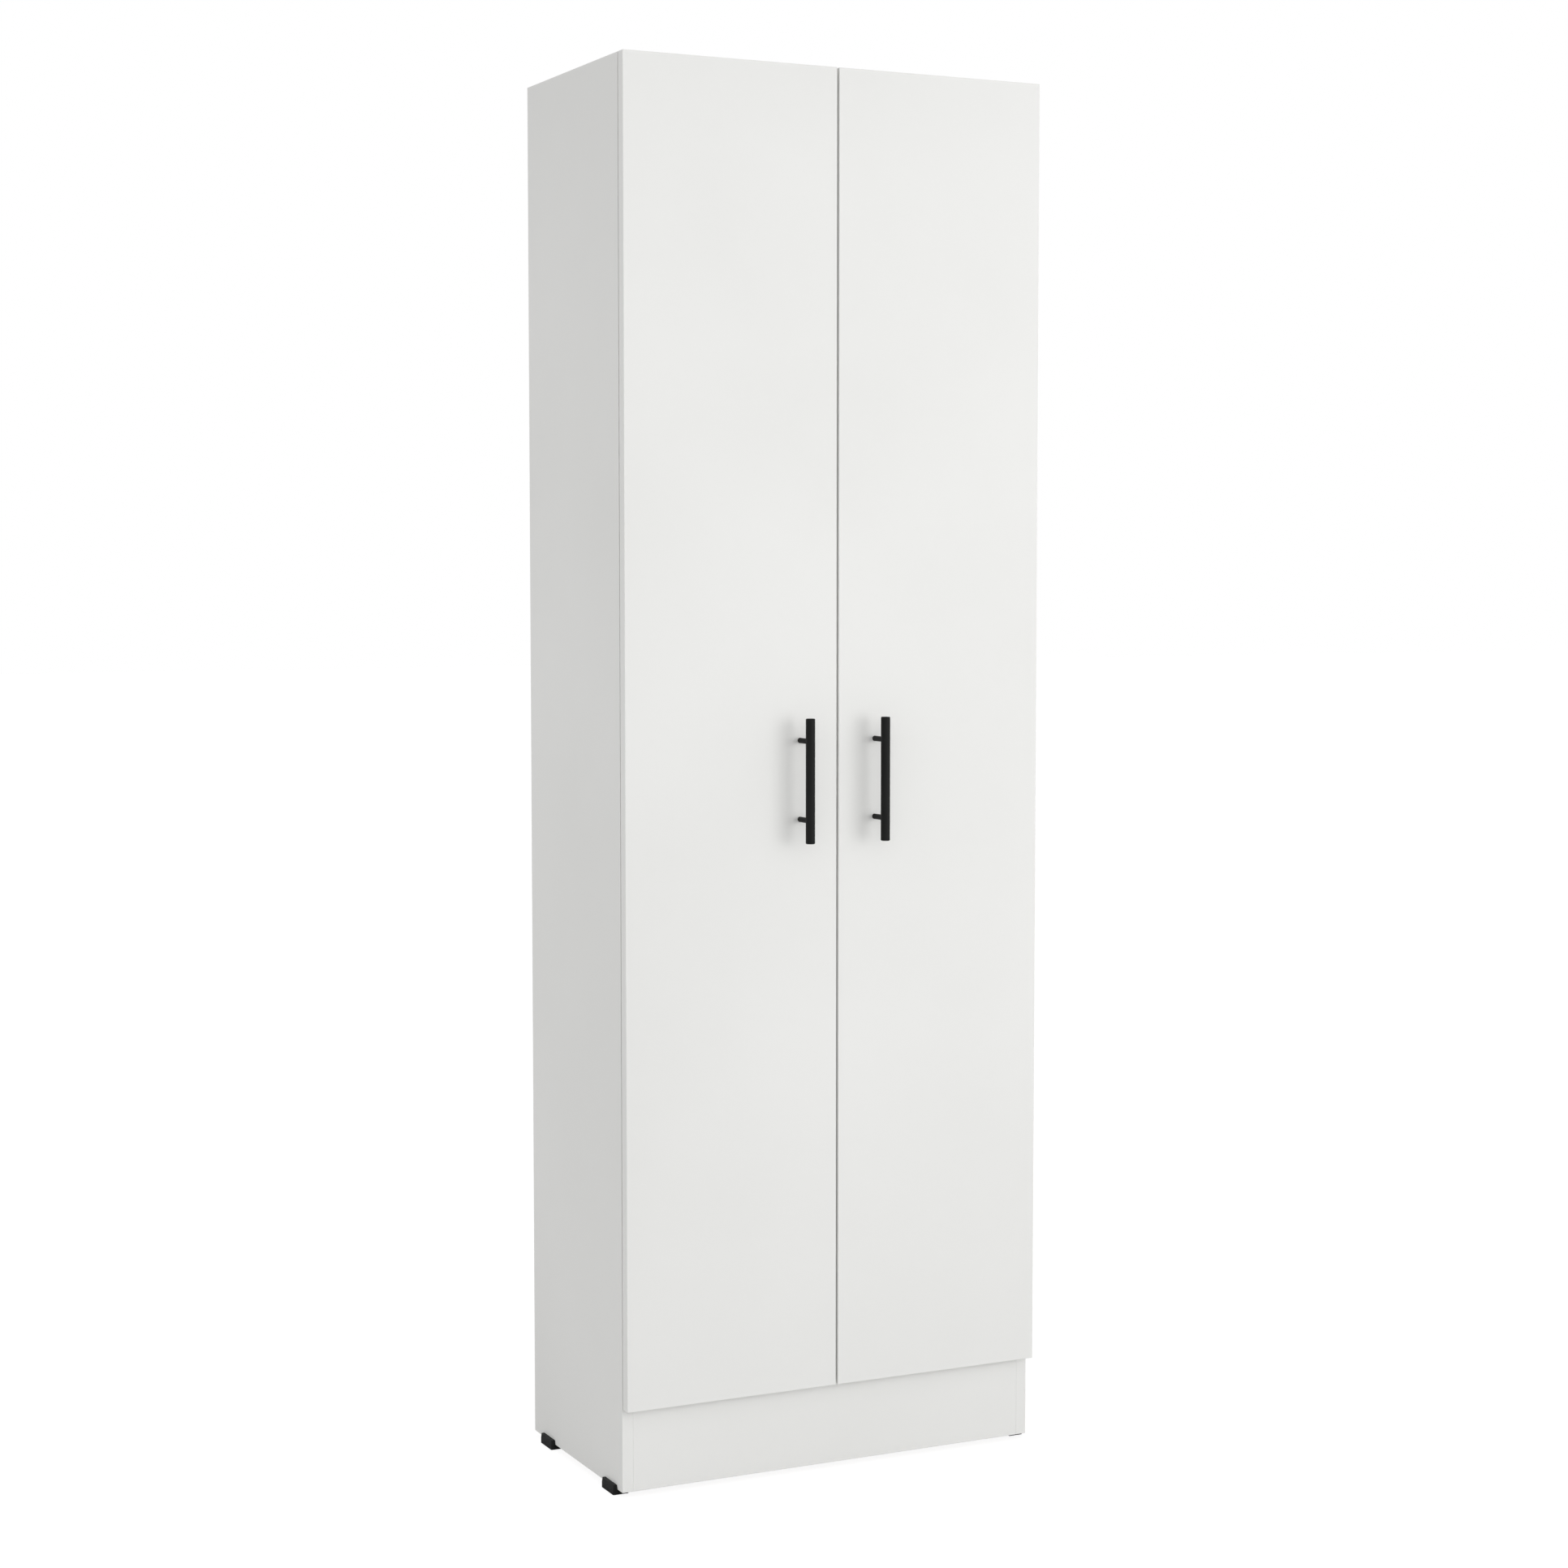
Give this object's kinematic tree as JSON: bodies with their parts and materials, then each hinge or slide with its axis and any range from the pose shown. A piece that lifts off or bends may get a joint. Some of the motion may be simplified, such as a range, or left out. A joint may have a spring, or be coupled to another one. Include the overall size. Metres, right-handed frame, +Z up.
{
  "type": "broom cupboard",
  "caption": "Tall white flat-pack broom cupboard with two full-height overlay doors, black bar handles, a plinth, a tall broom bay and a shelf bay.",
  "frame": {"origin": "on the floor, at the middle of the footprint, handles included", "axes": "+Z up; -Y is the front, where the doors and handles are; +X to the right seen from the front"},
  "size_m": [0.6088, 0.3614, 1.827],
  "materials": {
    "white_board": "matt white melamine on particle board",
    "white_hardboard": "white-faced hardboard",
    "white_plastic": "satin extruded strip",
    "black_plastic": "satin moulded",
    "black_metal": "satin black powder coat",
    "nickel_steel": "nickel plated pressed steel",
    "plated_steel": "bright zinc plated",
    "zinc": "die-cast zinc",
    "beech": "plain beech",
    "clear_rubber": "soft translucent"
  },
  "bodies": {
    "carcass": {"left_side_panel": "white_board", "right_side_panel": "white_board", "top_panel": "white_board", "bottom_panel": "white_board", "plinth_panel": "white_board", "fixed_shelf": "white_board", "divider_panel": "white_board", "left_back_panel": "white_hardboard", "right_back_panel": "white_hardboard", "back_joint_strip": "white_plastic", "front_left_foot": "black_plastic", "rear_left_foot": "black_plastic", "front_right_foot": "black_plastic", "rear_right_foot": "black_plastic", "foot_nails": "plated_steel", "shelf_pins": "plated_steel", "cam_bolts": "plated_steel", "bracket_screws": "plated_steel", "cam_nuts": "zinc", "dowels": "beech", "left_wall_bracket": "plated_steel", "right_wall_bracket": "plated_steel", "left_hinge_arms": "nickel_steel", "left_hinge_plates": "nickel_steel", "left_plate_screws": "nickel_steel", "left_arm_screws": "nickel_steel", "right_hinge_arms": "nickel_steel", "right_hinge_plates": "nickel_steel", "right_plate_screws": "nickel_steel", "right_arm_screws": "nickel_steel"},
    "left_leaf": {"left_door": "white_board", "left_handle_bar": "black_metal", "left_handle_posts": "black_metal", "left_handle_screws": "plated_steel", "left_door_bumpers": "clear_rubber", "left_hinge_cups": "nickel_steel", "left_hinge_pins": "nickel_steel", "left_cup_screws": "nickel_steel"},
    "right_leaf": {"right_door": "white_board", "right_handle_bar": "black_metal", "right_handle_posts": "black_metal", "right_handle_screws": "plated_steel", "right_door_bumpers": "clear_rubber", "right_hinge_cups": "nickel_steel", "right_hinge_pins": "nickel_steel", "right_cup_screws": "nickel_steel"},
    "lower_shelf_board": {"lower_shelf": "white_board"},
    "middle_shelf_board": {"middle_shelf": "white_board"},
    "upper_shelf_board": {"upper_shelf": "white_board"}
  },
  "joints": [
    {"name": "left_door_swing", "type": "hinge", "parent": "carcass", "child": "left_leaf", "pos_m": [-0.2926, -0.13795, 0.9715], "axis": [0, 0, -1], "range_deg": [0, 95]},
    {"name": "right_door_swing", "type": "hinge", "parent": "carcass", "child": "right_leaf", "pos_m": [0.2926, -0.13795, 0.9715], "axis": [0, 0, 1], "range_deg": [0, 95]},
    {"name": "lower_shelf_lift", "type": "slide", "parent": "carcass", "child": "lower_shelf_board", "axis": [0, 0, 1], "range_m": [0, 0.03]},
    {"name": "middle_shelf_lift", "type": "slide", "parent": "carcass", "child": "middle_shelf_board", "axis": [0, 0, 1], "range_m": [0, 0.03]},
    {"name": "upper_shelf_lift", "type": "slide", "parent": "carcass", "child": "upper_shelf_board", "axis": [0, 0, 1], "range_m": [0, 0.03]}
  ]
}
